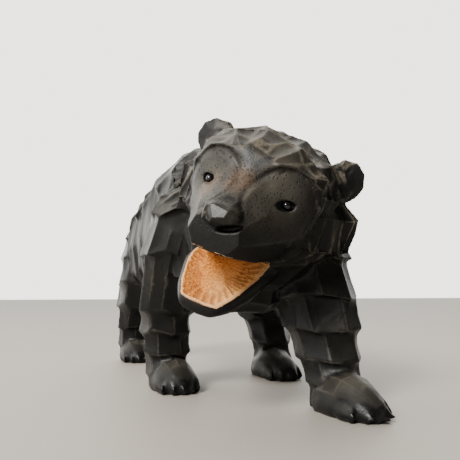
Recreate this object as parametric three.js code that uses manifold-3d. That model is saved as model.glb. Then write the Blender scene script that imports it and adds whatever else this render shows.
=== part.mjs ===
// A small walking bear carved by hand from one block of wood, its head turned to its right with the mouth
// open, and two glass beads set in as eyes. Millimetres, +Z up, the bear looks along -Y, its left is +X.
// The body is a few rounded masses whose surfaces carry the chisel's work: rows of tufts, each one a shallow
// trough between two ridges that stands over the row behind it. The masses are joined into one solid, and the
// mouth, the ears, the toes and the eye sockets are cut out of it.
import * as THREE from "three";
import { mergeVertices } from "three/addons/utils/BufferGeometryUtils.js";
import Module from "manifold-3d";

const wasm = await Module();
wasm.setup();

// ---------------------------------------------------------------------------- driving dimensions
const BODY_HALF_WIDTH = 37;
const BODY_HALF_HEIGHT = 39;
const CHEST_Y = -62;
const RUMP_Y = 113;

// The head's own frame starts midway between the ears and looks along its -Y.
const HEAD_AT = new THREE.Vector3(7, -64, 97);
const HEAD_YAW = THREE.MathUtils.degToRad(-35); // towards the bear's right
const HEAD_PITCH = THREE.MathUtils.degToRad(9.5); // nose down
const HEAD_ROLL = THREE.MathUtils.degToRad(22); // left ear down

const EYE_RADIUS = 1.4;
const EYE_GAP = 0.3; // between a bead and its socket
const EYE_SINK = 1; // the bead's centre, below the wood's surface
const TOE_PITCH = 4.4;
const FLUTE_PITCH = 12.5; // ridge to ridge on the flanks

// How far the surface stands from the plain mass where a tuft starts, halfway, and at its free end.
const TUFT_LIFT = [-1.1, -0.8, 0.6];
const TROUGH = 1.1; // how deep a tuft's middle lies below its ridges
const LIP = 0.8; // the free end's overhang is cut back over this length

// ---------------------------------------------------------------------------- geometry helpers
const V = (x, y, z) => new THREE.Vector3(x, y, z);
const radians = THREE.MathUtils.degToRad;

// A closed three.js geometry as a solid that can be joined and cut.
function solidOf(geometry, matrix = new THREE.Matrix4()) {
  const bare = geometry.clone().applyMatrix4(matrix);
  bare.deleteAttribute("normal");
  bare.deleteAttribute("uv");
  const merged = mergeVertices(bare, 1e-4);
  return new wasm.Manifold(
    new wasm.Mesh({
      numProp: 3,
      vertProperties: new Float32Array(merged.attributes.position.array),
      triVerts: new Uint32Array(merged.index.array),
    }),
  );
}

// A solid's surface as a three.js geometry.
function geometryOf(solid) {
  const mesh = solid.getMesh();
  const geometry = new THREE.BufferGeometry();
  geometry.setAttribute("position", new THREE.BufferAttribute(mesh.vertProperties, 3));
  geometry.setIndex(new THREE.BufferAttribute(mesh.triVerts, 1));
  return geometry;
}

const join = (solids) => solids.reduce((sum, next) => sum.add(next));

// A repeatable scatter in -1..1, so that no two strokes are quite alike.
function scatter(a, b) {
  const noise = Math.sin(a * 12.9898 + b * 78.233) * 43758.5453;
  return (noise - Math.floor(noise)) * 2 - 1;
}

// A smooth curve (Catmull-Rom) through rows of numbers, by the first column.
function table(rows) {
  return (along) => {
    const x = THREE.MathUtils.clamp(along, rows[0][0], rows.at(-1)[0]);
    let i = 0;
    while (i < rows.length - 2 && rows[i + 1][0] < x) i++;
    const [a, b] = [rows[i], rows[i + 1]];
    const before = rows[Math.max(i - 1, 0)];
    const after = rows[Math.min(i + 2, rows.length - 1)];
    const span = b[0] - a[0];
    const t = (x - a[0]) / span;
    const [t2, t3] = [t ** 2, t ** 3];
    return a.slice(1).map((p, k) => {
      const q = b[k + 1];
      const m0 = ((q - before[k + 1]) / (b[0] - before[0])) * span;
      const m1 = ((after[k + 1] - p) / (after[0] - a[0])) * span;
      return (2 * t3 - 3 * t2 + 1) * p + (t3 - 2 * t2 + t) * m0 + (3 * t2 - 2 * t3) * q + (t3 - t2) * m1;
    });
  };
}

// A rounded mass: a sphere whose rings are moved onto the sections of a table. A row of the table holds the
// place along the axis, the section's centre and its two half sizes; squareness 1 is an ellipse, less is
// boxier. The lattice slides each point along the axis, swings it round and lifts it off the section.
const PLAIN = () => [0, 0, 0];
function mass(axis, rows, { rings, spokes, squareness = 1, lattice = PLAIN, matrix }) {
  const sections = table(rows);
  const sphere = new THREE.SphereGeometry(1, spokes.length, rings.length + 1);
  const soften = (v) => Math.sign(v) * Math.abs(v) ** squareness;
  const stations = [rows[0][0], ...rings, rows.at(-1)[0]];
  stations.forEach((station, ring) => {
    for (let spoke = 0; spoke <= spokes.length; spoke++) {
      const pole = ring === 0 || ring === stations.length - 1;
      const own = spoke % spokes.length;
      const [slide, swing, lift] = pole ? [0, 0, 0] : lattice(ring - 1, own);
      const angle = radians(spokes[own] + swing);
      const [cu, cv, hu, hv] = sections(station + slide);
      const u = pole ? cu : cu + (hu + lift) * soften(Math.sin(angle));
      const v = pole ? cv : cv + (hv + lift) * soften(Math.cos(angle));
      const along = station + slide;
      const point = { x: [along, u, v], y: [u, along, v], z: [u, v, along] }[axis];
      sphere.attributes.position.setXYZ(ring * (spokes.length + 1) + spoke, ...point);
    }
  });
  const made = solidOf(sphere, matrix);
  if (made.volume() > 0) return made;
  sphere.index.array.reverse();
  return solidOf(sphere, matrix);
}

// Evenly spaced numbers, ends included.
const spread = (from, to, count) =>
  Array.from({ length: count }, (_, i) => from + ((to - from) * i) / (count - 1));
const around = (count) => Array.from({ length: count }, (_, i) => (360 * i) / count);

// The three lines of points that make each row of tufts between two boundaries: where it starts, its middle
// and its free end. Flow 1 runs towards growing numbers, -1 against them.
function tuftLines(boundaries, flow, lip) {
  return boundaries.slice(0, -1).flatMap((low, tier) => {
    const high = boundaries[tier + 1] - lip;
    const lines = [
      { at: low, tier, boundary: tier },
      { at: (low + high) / 2, tier, boundary: null },
      { at: high, tier, boundary: tier + 1 },
    ];
    return lines.map((line, i) => ({ ...line, lift: TUFT_LIFT[flow > 0 ? i : 2 - i] }));
  });
}

// How deep the trough is at one point of a row, from the row's and the ridge's numbers.
const trough = (deep, tier, ridge) => ((tier + ridge) % 2 ? deep * (1 + 0.3 * scatter(tier + 3, ridge)) : 0);

// A mass whose rows of tufts follow one another along its axis, as on a leg.
function tiered(axis, rows, { boundaries, flow, tufts, jitter = 1.6, squareness, turn = 0, matrix }) {
  const lines = tuftLines(boundaries, flow, LIP);
  const lattice = (ring, spoke) => {
    const { tier, boundary, lift } = lines[ring];
    const slide = boundary === null ? 0 : jitter * scatter(boundary + rows[0][1], spoke);
    return [slide, (120 / tufts) * 0.5 * scatter(spoke, tier), lift - trough(TROUGH, tier, spoke)];
  };
  const spokes = around(2 * tufts).map((angle) => angle + turn);
  return mass(axis, rows, { rings: lines.map((line) => line.at), spokes, squareness, lattice, matrix });
}

// A mass whose tufts run down its two sides, in flutes that follow one another along its axis.
function fluted(axis, rows, { pitch, boundaries, deep = TROUGH, stagger = 0, lean = 0, squareness, matrix }) {
  const lines = tuftLines(boundaries, 1, 1.5);
  const first = rows[0][0];
  const length = rows.at(-1)[0] - first;
  const count = Math.round((2 * length) / pitch);
  const rings = spread(first + pitch / 4, first + length - pitch / 4, count);
  const sides = [
    ...lines.map((line) => ({ ...line, side: -1 })).reverse(),
    { at: 0, tier: 0, boundary: null, lift: 0.6, side: 1 },
    ...lines.map((line) => ({ ...line, side: 1 })),
  ];
  const lattice = (ring, spoke) => {
    const { at, tier, boundary, lift, side } = sides[spoke];
    const drop = stagger * (Math.floor(ring / 2) % 2 ? 1 : -1) + 6 * scatter(boundary + 7 * side, ring);
    const swing = boundary === null ? 0 : side * drop;
    const slide = lean * (at / 180) * Math.sin((Math.PI * (ring + 1)) / (count + 1));
    return [slide + (pitch / 10) * scatter(ring, tier), swing, lift - trough(deep, tier, ring)];
  };
  return mass(axis, rows, { rings, spokes: sides.map((s) => s.side * s.at), squareness, lattice, matrix });
}

// An ellipsoid, turned about its own centre.
function egg(centre, half, { turn = [0, 0, 0], matrix = new THREE.Matrix4(), fineness = [12, 8] } = {}) {
  const spin = new THREE.Quaternion().setFromEuler(new THREE.Euler(...turn.map(radians)));
  const own = new THREE.Matrix4().compose(centre, spin, half);
  return solidOf(new THREE.SphereGeometry(1, ...fineness), own.premultiply(matrix));
}

// ---------------------------------------------------------------------------- the trunk
const TRUNK = [
  // y, centre x, centre z, half width, half height
  [CHEST_Y, 1, 71, 0, 0],
  [-58, 1, 71, 17, 19],
  [-48, 1, 73, 28, 33],
  [-30, 0, 75, 34, BODY_HALF_HEIGHT],
  [0, 0, 75.5, BODY_HALF_WIDTH, BODY_HALF_HEIGHT],
  [35, 0, 74, 38, 38],
  [70, 0, 72, 39, 35],
  [94, 0, 71, 31, 30],
  [104, 0, 70, 20, 20],
  [108, 0, 70, 0, 0],
];
const RUMP = [
  // z, centre x, centre y, half width, half depth
  [38, 1, RUMP_Y - 26, 0, 0],
  [42, 1, RUMP_Y - 26, 20, 17],
  [56, 1, RUMP_Y - 26, 28, 24],
  [70, 1, RUMP_Y - 27, 32, 27],
  [86, 1, RUMP_Y - 30, 29, 26],
  [98, 1, RUMP_Y - 33, 19, 19],
  [104, 1, RUMP_Y - 35, 0, 0],
];
const NECK = [
  [-82, 6, 80, 0, 0],
  [-76, 5, 78, 20, 20],
  [-60, 4, 77, 26, 30],
  [-44, 4, 78, 27, 34],
  [-25, 2, 76, 28, 34],
  [-10, 0, 74, 0, 0],
];
const BODY_TIERS = [5, 66, 118, 170]; // degrees from the spine down a side
const RUMP_TIERS = [42, 56, 69, 82, 100];
const BODY_LEAN = 16; // how much further back a flute ends on the belly than it starts on the spine

function trunkMasses() {
  const flank = { pitch: FLUTE_PITCH, boundaries: BODY_TIERS, stagger: 5 };
  return [
    fluted("y", TRUNK, { ...flank, lean: BODY_LEAN, squareness: 0.86 }),
    fluted("y", NECK, { ...flank, pitch: 14, squareness: 0.9 }),
    tiered("z", RUMP, { boundaries: RUMP_TIERS, flow: -1, tufts: 12 }),
    egg(V(6, -32, 58), V(27, 26, 22.5), { fineness: [11, 7] }), // chest
    egg(V(5, -38, 96), V(17, 17, 19), { fineness: [11, 7] }), // nape
    egg(V(1, RUMP_Y - 3, 76), V(6, 7, 11), { turn: [-20, 0, 0], fineness: [9, 6] }), // tail
  ];
}

// ---------------------------------------------------------------------------- the legs
// Height, centre x and y, half width and half depth, from below the ground up; then the paw's toe line.
const LEGS = {
  front_left: {
    rows: [
      [-6, 30, -64, 0, 0], [-5, 30, -64, 10, 13], [6, 31, -63, 10.5, 12], [20, 30.5, -56.5, 12.5, 16],
      [40, 28.8, -50, 16.8, 20], [60, 25, -47, 18, 21], [76, 22, -40, 17, 21], [90, 17, -34, 15, 18],
      [100, 12, -32, 0, 0],
    ],
    boundaries: [-5, 9, 19, 31, 44, 60, 76, 95],
    paw: { toe: V(33, -90, 0), heel: -56, turn: 8 },
  },
  front_right: {
    rows: [
      [-6, -24, -2, 0, 0], [-5, -24, -2, 10, 13], [6, -25, 0, 10.5, 12], [20, -26, 0, 12, 12.5],
      [40, -27, -8, 13.5, 15.5], [60, -26, -20, 15, 20], [76, -23, -27, 15.5, 21], [90, -17, -31, 15, 18],
      [100, -12, -32, 0, 0],
    ],
    boundaries: [-5, 8, 17, 27, 37, 62, 78, 95],
    paw: { toe: V(-22, -23, 0), heel: 10, turn: 6 },
  },
  hind_left: {
    rows: [
      [-6, 38, 18, 0, 0], [-5, 38, 18, 10, 14], [6, 38.5, 21, 10.5, 12], [18, 38.5, 27, 11.5, 13],
      [36, 37, 38, 14.5, 18], [56, 30, 54, 15.5, 26], [72, 26, 61, 15.5, 28], [88, 20, 66, 15, 24],
      [98, 13, 68, 0, 0],
    ],
    boundaries: [-5, 8, 19, 31, 46, 62, 78, 93],
    paw: { toe: V(37, -5, 0), heel: 32, turn: 4 },
  },
  hind_right: {
    rows: [
      [-6, -29, 105, 0, 0], [-5, -29, 105, 10, 13], [6, -29.5, 107, 10.5, 11], [18, -30, 106, 11, 12],
      [36, -29.5, 96, 13, 18], [56, -27, 86, 15, 25], [72, -24, 80, 16, 27], [88, -19, 76, 15, 23],
      [98, -13, 72, 0, 0],
    ],
    boundaries: [-5, 10, 23, 36, 52, 67, 80, 93],
    paw: { toe: V(-29, 84, 0), heel: 118, turn: 0 },
  },
};

// The foot's back, and five toes with a claw each, fanned a little.
function pawMasses({ toe, heel, turn }) {
  const spin = new THREE.Matrix4().makeRotationZ(radians(turn));
  const place = new THREE.Matrix4().makeTranslation(toe).multiply(spin);
  const length = heel - toe.y;
  const half = V(11.4, length / 2 + 0.5, 13);
  const foot = egg(V(0, length / 2 + 1, 3), half, { matrix: place, fineness: [12, 7] });
  const toes = [-2, -1, 0, 1, 2].flatMap((k) => {
    const bend = 1.1 * k ** 2; // the outer toes stand further back
    const pad = egg(V(k * TOE_PITCH, 5.5 + bend, 3), V(2.6, 7, 5), { matrix: place, fineness: [6, 5] });
    const claw = new THREE.ConeGeometry(1.7, 6, 4).rotateX(radians(115));
    return [pad, solidOf(claw.translate(k * TOE_PITCH, bend - 1.6, 2.6), place)];
  });
  return [foot, ...toes];
}

const legMasses = () =>
  Object.values(LEGS).flatMap(({ rows, boundaries, paw }) => [
    tiered("z", rows, { boundaries, flow: -1, tufts: 7, squareness: 0.9 }),
    ...pawMasses(paw),
  ]);

// ---------------------------------------------------------------------------- the head
const head = new THREE.Matrix4()
  .makeTranslation(HEAD_AT)
  .multiply(new THREE.Matrix4().makeRotationZ(HEAD_YAW))
  .multiply(new THREE.Matrix4().makeRotationX(HEAD_PITCH))
  .multiply(new THREE.Matrix4().makeRotationY(HEAD_ROLL));

// The face is left smooth: a bridge plane between two side planes that hold the eyes.
const FACE = [
  [-52, 0, -27.5, 0, 0], [-51.5, 0, -27.5, 8.5, 7], [-46, 0, -26.5, 11, 10.5], [-38, 0, -25, 14, 14],
  [-30, 0, -22.5, 18, 17], [-20, 0, -20, 23, 18.5], [-6, 0, -19, 26, 19], [6, 0, -19, 0, 0],
];
const FACE_PLANES = [-17, 17, 58, 98, 136, 180, 224, 262, 302];
const JAW = [
  [-43, 0, -53, 0, 0], [-42, 0, -53, 6.5, 4], [-37, 0, -51, 9.5, 6], [-27, 0, -46, 13, 8],
  [-14, 0, -39, 16, 10], [-4, 0, -34, 14, 12], [2, 0, -32, 0, 0],
];
// The crown's fur runs back from the brow, the ruff's runs down round the cheeks.
const CROWN = [
  [-35, 0, -6.5, 0, 0], [-33, 0, -7, 14, 8], [-26, 0, -9, 23, 14.5], [-9, 0, -10, 29, 19],
  [8, 0, -11, 25, 17], [18, 0, -12, 0, 0],
];
const RUFF = [
  [-34, 0, -21, 0, 0], [-32, 0, -21, 14, 12], [-24, 0, -21, 22, 17], [-14, 0, -20, 30, 20],
  [-3, 0, -19, 38.5, 21], [5, 0, -18, 34, 19], [13, 0, -18, 0, 0],
];
const NOSE = [
  [-55, 0, -22.5, 0, 0], [-54.5, 0, -22.5, 4.8, 3], [-51, 0, -21.5, 6.4, 4.2], [-45, 0, -20.5, 6.2, 4.6],
  [-42, 0, -20.5, 0, 0],
];

function headMasses() {
  const ear = (side) => {
    const placed = { turn: [0, 0, side * 15], matrix: head, fineness: [10, 7] };
    const hollow = egg(V(side * 25, -5.2, -1), V(5.6, 3.4, 6.2), placed);
    return egg(V(side * 25.6, 0, -1), V(7.8, 4.8, 8.4), placed).subtract(hollow);
  };
  // The brow's edge arches over each eye and comes down to a point between them.
  const arch = (side) => egg(V(side * 14, -37, -17), V(13.5, 18, 16.5), { matrix: head });
  const brow = (side) => egg(V(side * 12.5, -18, -12), V(12.5, 13.2, 15), { matrix: head });
  const crown = tiered("y", CROWN, { boundaries: [-32, -22, -11, 1, 13], flow: 1, tufts: 11, matrix: head });
  return [
    crown.subtract(arch(-1)).subtract(arch(1)),
    brow(-1),
    brow(1),
    fluted("y", RUFF, { pitch: 5.6, boundaries: [34, 112, 160], deep: 1.7, matrix: head }),
    mass("y", FACE, { rings: [-51.5, -46, -36, -24, -8], spokes: FACE_PLANES, matrix: head }),
    mass("y", JAW, { rings: [-42, -36, -26, -14, -4], spokes: around(12), squareness: 0.8, matrix: head }),
    mass("y", NOSE, { rings: [-54.5, -51, -45], spokes: [-60, -25, 25, 60, 120, 240], matrix: head }),
    ear(-1),
    ear(1),
  ];
}

// The open mouth: a wedge between the flat palate and the flat floor of the lower jaw.
function mouthWedge() {
  const reach = 50;
  const rise = (degrees) => reach * Math.tan(radians(degrees));
  const corner = V(0, -19, -36.5);
  const profile = new THREE.Shape();
  profile.moveTo(corner.y, corner.z);
  profile.lineTo(corner.y - reach, corner.z + rise(6));
  profile.lineTo(corner.y - reach, corner.z - rise(33));
  profile.closePath();
  const wedge = new THREE.ExtrudeGeometry(profile, { depth: 36, bevelEnabled: false });
  const stand = new THREE.Matrix4().makeBasis(V(0, 1, 0), V(0, 0, 1), V(1, 0, 0)).setPosition(-18, 0, 0);
  return solidOf(wedge, stand.premultiply(head));
}

const ground = () => solidOf(new THREE.BoxGeometry(400, 400, 60).translate(0, 0, -30));

// ---------------------------------------------------------------------------- the eyes
// Where each bead sits: a spot on the face's side plane, and the way it looks.
function eyeSeat(wood, side) {
  const out = V(side * 0.5, -0.85, 0.15).normalize();
  const start = V(side * 14.5, -31, -14).addScaledVector(out, 20).applyMatrix4(head);
  const way = out.clone().transformDirection(head);
  const hit = new THREE.Raycaster(start, way.clone().negate()).intersectObject(wood, false)[0];
  const across = V(0, 0, 1).transformDirection(head).cross(way).normalize();
  const seat = new THREE.Matrix4().makeBasis(across, way, across.clone().cross(way));
  return seat.setPosition(hit.point.addScaledVector(way, -EYE_SINK));
}

// An almond-shaped pit around the bead, and the bead's own socket.
function eyeSocket(seat) {
  const pit = egg(V(0, EYE_SINK, 0), V(2.9, 1.7, 1.7), { matrix: seat, fineness: [10, 6] });
  const socket = new THREE.SphereGeometry(EYE_RADIUS + EYE_GAP, 10, 8);
  return pit.add(solidOf(socket, seat));
}

const block = join([...trunkMasses(), ...legMasses(), ...headMasses()])
  .subtract(mouthWedge())
  .subtract(ground());
const uncut = new THREE.Mesh(geometryOf(block), new THREE.MeshBasicMaterial({ side: THREE.DoubleSide }));
const seats = { eye_left: eyeSeat(uncut, 1), eye_right: eyeSeat(uncut, -1) };
const carved = Object.values(seats).reduce((wood, seat) => wood.subtract(eyeSocket(seat)), block);

// ---------------------------------------------------------------------------- the bear, set on its origin
const bear = new THREE.Group();
const wood = new THREE.MeshStandardMaterial({ color: "#2c2b29", roughness: 0.5, metalness: 0 });
const body = new THREE.Mesh(geometryOf(carved), wood);
body.name = "carved_bear";
bear.add(body);

for (const [name, seat] of Object.entries(seats)) {
  const glass = new THREE.MeshStandardMaterial({ color: "#0a0a0b", roughness: 0.05, metalness: 0 });
  const bead = new THREE.Mesh(new THREE.SphereGeometry(EYE_RADIUS, 12, 8), glass);
  bead.name = name;
  bead.position.setFromMatrixPosition(seat);
  bear.add(bead);
}

const bounds = new THREE.Box3().setFromObject(body, true);
const middle = bounds.getCenter(new THREE.Vector3());
bear.position.set(-middle.x, -middle.y, -bounds.min.z);

export default bear;
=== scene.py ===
# %% [markdown]
# # A hand-carved walking bear
# The bear is cut from one block of soft wood with gouges and a knife, stained black all over, and then its
# mouth is opened with a last clean cut that shows the raw wood. Two small glass beads are its eyes.
# The CAD block already has the pose and every tuft of fur as flat facets. What is left for this lesson is
# what a gouge really leaves: hollow troughs, crisp ridges between them, and a stain worn thin on the ridges.
# Lengths are millimetres times MM, since Blender counts in metres. Points closer than WELD are one point.

import math

import bmesh
import bpy
import numpy as np
from mathutils import Euler, Matrix, Vector, kdtree, noise


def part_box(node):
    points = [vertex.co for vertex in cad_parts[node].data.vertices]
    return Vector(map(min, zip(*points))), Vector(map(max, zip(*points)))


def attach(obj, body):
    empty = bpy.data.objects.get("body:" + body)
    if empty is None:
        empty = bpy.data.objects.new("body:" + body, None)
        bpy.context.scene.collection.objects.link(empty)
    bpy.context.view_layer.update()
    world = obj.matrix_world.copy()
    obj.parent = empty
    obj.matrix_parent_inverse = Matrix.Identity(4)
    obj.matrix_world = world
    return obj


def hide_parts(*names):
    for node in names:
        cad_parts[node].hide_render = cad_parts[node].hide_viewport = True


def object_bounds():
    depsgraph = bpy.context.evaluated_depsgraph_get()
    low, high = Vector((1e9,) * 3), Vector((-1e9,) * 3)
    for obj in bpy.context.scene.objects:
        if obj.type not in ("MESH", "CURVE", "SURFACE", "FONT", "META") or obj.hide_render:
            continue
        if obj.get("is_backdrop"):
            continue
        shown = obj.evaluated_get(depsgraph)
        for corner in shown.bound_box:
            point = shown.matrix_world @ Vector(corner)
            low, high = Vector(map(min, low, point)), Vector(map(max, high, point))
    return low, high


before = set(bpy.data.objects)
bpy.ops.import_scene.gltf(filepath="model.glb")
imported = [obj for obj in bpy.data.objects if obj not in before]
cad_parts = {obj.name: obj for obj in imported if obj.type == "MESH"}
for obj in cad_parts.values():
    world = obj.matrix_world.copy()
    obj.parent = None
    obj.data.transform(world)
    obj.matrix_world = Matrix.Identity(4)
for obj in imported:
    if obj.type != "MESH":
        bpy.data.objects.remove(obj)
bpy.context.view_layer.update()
MM = 0.001
WELD = 1e-7

# %% [markdown]
# The bear's head has a frame of its own: it starts midway between the ears and looks along its own -Y. The
# face, the mouth and the eyes are easier to describe there than in the frame of the whole figure.

# %% The head's own frame
SHIFT = Vector((-4.794, -8.306, 0.0)) * MM
HEAD_AT = Vector((7, -64, 97)) * MM + SHIFT
HEAD_YAW, HEAD_PITCH, HEAD_ROLL = (math.radians(a) for a in (-35, 9.5, 22))
head = (
    Matrix.Translation(HEAD_AT)
    @ Matrix.Rotation(HEAD_YAW, 4, "Z")
    @ Matrix.Rotation(HEAD_PITCH, 4, "X")
    @ Matrix.Rotation(HEAD_ROLL, 4, "Y")
)
to_head = head.inverted()


def rows(vectors):
    """Vectors as the rows of one array, in metres."""
    return np.array([tuple(v) for v in vectors], float).reshape(-1, 3)


def seen_from(place, points):
    """Points given in the frame of a placement, in millimetres."""
    back = place.inverted()
    return (points @ np.array(back.to_3x3()).T + np.array(back.translation)) / MM


def along_head(direction):
    """A direction given in the head's frame, as one of length 1 in the figure's frame."""
    return np.array((head.to_3x3() @ Vector(direction)).normalized())


print("the head sits at", [round(v / MM, 1) for v in HEAD_AT], "mm")

# %% [markdown]
# The camera stands close to the bear's right front and lower than its head, so the near paws look large.
# Tilting it up would make the legs lean. A level camera whose lens is shifted up a little keeps them upright,
# as an architect's camera does. The lens is written as a share of the view's width.

# %% The camera
scene = bpy.context.scene
FOCAL_PER_WIDTH = 1.087
LENS_RISE = 0.1348
camera_data = bpy.data.cameras.new("camera")
camera = bpy.data.objects.new("camera", camera_data)
scene.collection.objects.link(camera)
camera_data.lens = camera_data.sensor_width * FOCAL_PER_WIDTH
camera_data.shift_y = LENS_RISE
camera.location = Vector((-67, -240, 46)) * MM + SHIFT
camera.rotation_euler = Euler((math.radians(90), 0, math.radians(-17)))
camera_data.clip_start = 0.01
scene.camera = camera
print("lens", round(camera_data.lens, 1), "mm")

# %% [markdown]
# Colours are written as the hex values a painter would mix, in sRGB, and Blender's shaders want them linear,
# so one function turns one into the other. Another adds a node with its settings and its links.


# %% Colours and nodes
def colour(hexadecimal):
    """An sRGB hex value as the linear colour that a shader needs."""
    parts = [int(hexadecimal[i : i + 2], 16) / 255 for i in (1, 3, 5)]
    linear = [p / 12.92 if p <= 0.04045 else ((p + 0.055) / 1.055) ** 2.4 for p in parts]
    return (*linear, 1.0)


def add(tree, kind, settings=None, **links):
    """A node of that kind. Settings are its properties; links are values or sockets for its inputs."""
    node = tree.nodes.new(kind)
    for name, value in (settings or {}).items():
        setattr(node, name, value)
    for name, value in links.items():
        key = int(name[1:]) if name[0] == "_" and name[1:].isdigit() else name.replace("_", " ")
        if isinstance(value, bpy.types.NodeSocket):
            tree.links.new(value, node.inputs[key])
        else:
            node.inputs[key].default_value = value
    return node


# %% [markdown]
# ## The carved surface
# A gouge leaves a hollow trough, and where two troughs meet there is a crisp ridge. The CAD facets say where
# the ridges run. Every facet is divided into small triangles, the points on the ridges are held, and all
# between them are sunk and smoothed, which turns each flat facet into a trough. A remesh would be quicker to
# write, but its even net runs across the ridges and saws them into teeth. Dividing the facets keeps them.

# %% The block's facets
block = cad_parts["carved_bear"]
work = bmesh.new()
work.from_mesh(block.data)
bmesh.ops.remove_doubles(work, verts=work.verts, dist=WELD)
bmesh.ops.triangulate(work, faces=work.faces)
corners = rows(v.co for v in work.verts)
facets = np.array([[v.index for v in f.verts] for f in work.faces])
print(len(facets), "facets on", len(corners), "corners")

# %% [markdown]
# An edge where the surface folds outwards is a ridge between two troughs, and one where it folds inwards is
# a step, where one tuft lies over the next. Slight folds and very short edges are neither: they only round
# the big masses. Picking the edges by hand would take days, and the angle between the facets finds them.


# %% Ridges and steps
def folds(points, triangles):
    """Each edge between two facets: its ends, how far it folds in degrees, and whether it stands out."""
    a, b, c = (points[triangles[:, i]] for i in range(3))
    normal = np.cross(b - a, c - a)
    normal /= np.linalg.norm(normal, axis=1, keepdims=True) + 1e-18
    middle = (a + b + c) / 3
    ends = np.concatenate([triangles[:, [i, (i + 1) % 3]] for i in range(3)])
    owner = np.tile(np.arange(len(triangles)), 3)
    order = np.lexsort((ends.max(1), ends.min(1)))
    first, second = order[::2], order[1::2]
    one, two = owner[first], owner[second]
    angle = np.degrees(np.arccos(np.clip((normal[one] * normal[two]).sum(1), -1, 1)))
    out = (normal[one] * (middle[two] - points[ends[first, 0]])).sum(1) < 0
    return ends[first], angle, out


fold_ends, fold_angle, stands_out = folds(corners, facets)
fold_length = np.linalg.norm(corners[fold_ends[:, 0]] - corners[fold_ends[:, 1]], axis=1)
RIDGE_FOLD = 17
STEP_FOLD = 25
SHORTEST = 0.9 * MM
ridge = stands_out & (fold_angle > RIDGE_FOLD) & (fold_length > SHORTEST)
step = ~stands_out & (fold_angle > STEP_FOLD) & (fold_length > SHORTEST)
print(ridge.sum(), "ridges and", step.sum(), "steps among", len(fold_angle), "edges")

# %% [markdown]
# The head's carving is smaller than the body's, so its triangles are less than half the size, and the end of
# the muzzle has the smallest. Long edges are halved first, again and again, which keeps the triangles even.

# %% Small triangles
BODY_EDGE = 2.5 * MM
HEAD_EDGE = 1.05 * MM
MUZZLE_EDGE = 0.55 * MM


def on_head(local):
    """Which points, in the head's frame, belong to the head and its ruff."""
    x, y, z = local.T
    return (y < 10) & (np.abs(x) < 44) & (z > -60) & (z < 16)


def on_muzzle_end(local):
    """Which points, in the head's frame, belong to the nose and the upper lip."""
    return on_head(local) & (local[:, 1] < -44) & (local[:, 2] > -32)


def divide(mesh, share):
    """Halves each edge that is longer than that many times its limit."""
    ends = rows(v.co for e in mesh.edges for v in e.verts).reshape(-1, 2, 3)
    local = seen_from(head, ends.mean(1))
    limit = np.where(on_head(local), HEAD_EDGE, BODY_EDGE)
    limit = np.where(on_muzzle_end(local), MUZZLE_EDGE, limit) * share
    long = np.linalg.norm(ends[:, 0] - ends[:, 1], axis=1) > limit
    bmesh.ops.subdivide_edges(mesh, edges=[e for e, cut in zip(mesh.edges, long) if cut], cuts=1)
    wide = [f for f in mesh.faces if len(f.verts) > 3]
    bmesh.ops.triangulate(mesh, faces=wide, quad_method="SHORT_EDGE", ngon_method="BEAUTY")
    return long.sum()


for share in (8, 4, 2, 1.4, 1, 1):
    divide(work, share)
net = bpy.data.meshes.new("bear")
work.to_mesh(net)
work.free()
print("the net has", len(net.polygons), "triangles")

# %% [markdown]
# Every later step moves all the points at once, so points, edges and faces are kept as arrays. A loop over
# mesh vertices would be simpler to read and some hundred times slower.

# %% Points, edges and normals of the net as arrays
count = len(net.vertices)
surface = np.empty(count * 3)
net.vertices.foreach_get("co", surface)
surface = surface.reshape(-1, 3)
edges = np.empty(len(net.edges) * 2, int)
net.edges.foreach_get("vertices", edges)
edges = edges.reshape(-1, 2)
faces = np.empty(len(net.polygons) * 3, int)
net.polygons.foreach_get("vertices", faces)
faces = faces.reshape(-1, 3)
both_ways = np.concatenate([edges, edges[:, ::-1]])
neighbours = np.bincount(both_ways[:, 0], minlength=count)


def gather(values):
    """The mean of each point's neighbours."""
    total = [np.bincount(both_ways[:, 0], values[both_ways[:, 1], k], count) for k in range(values.shape[1])]
    return np.stack(total, 1) / neighbours[:, None]


def outward(points):
    """The surface's normal at each point."""
    a, b, c = (points[faces[:, i]] for i in range(3))
    face = np.cross(b - a, c - a)
    total = np.zeros_like(points)
    for i in range(3):
        for k in range(3):
            total[:, k] += np.bincount(faces[:, i], face[:, k], count)
    return total / (np.linalg.norm(total, axis=1, keepdims=True) + 1e-18)


print(count, "points joined by", len(edges), "edges")

# %% [markdown]
# The face is the one part that the carver left smooth: inside the brow's two arches, and down the muzzle.
# The mouth's two flat cuts meet at its corner. Each region is found from its place in the head's frame.


# %% Regions of the head
def ramp(values, low, high):
    """0 at low, 1 at high, and smooth between them."""
    t = np.clip((values - low) / (high - low), 0, 1)
    return t * t * (3 - 2 * t)


def in_egg(points, centre, half):
    """Below 1 inside an ellipsoid, 1 on it."""
    return np.sqrt((((points - np.array(centre)) / half) ** 2).sum(1))


def in_arches(points):
    """Below 1 under the brow's two arches."""
    size = (13.5, 18, 16.5)
    return np.minimum(in_egg(points, (14, -37, -17), size), in_egg(points, (-14, -37, -17), size))


def muzzle(points):
    """1 on the smooth muzzle, 0 off it."""
    x, y, z = points.T
    return ramp(y, -22, -26) * ramp(z, -4, -9) * ramp(np.abs(x), 25, 22)


local = seen_from(head, surface)
X, Y, Z = local.T
face = np.maximum(ramp(in_arches(local), 1.05, 0.99), muzzle(local))

beads = {name: Vector(sum(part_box(name), Vector()) / 2) for name in ("eye_left", "eye_right")}
bead_away = np.min([np.linalg.norm(surface - np.array(at), axis=1) for at in beads.values()], axis=0) / MM

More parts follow.
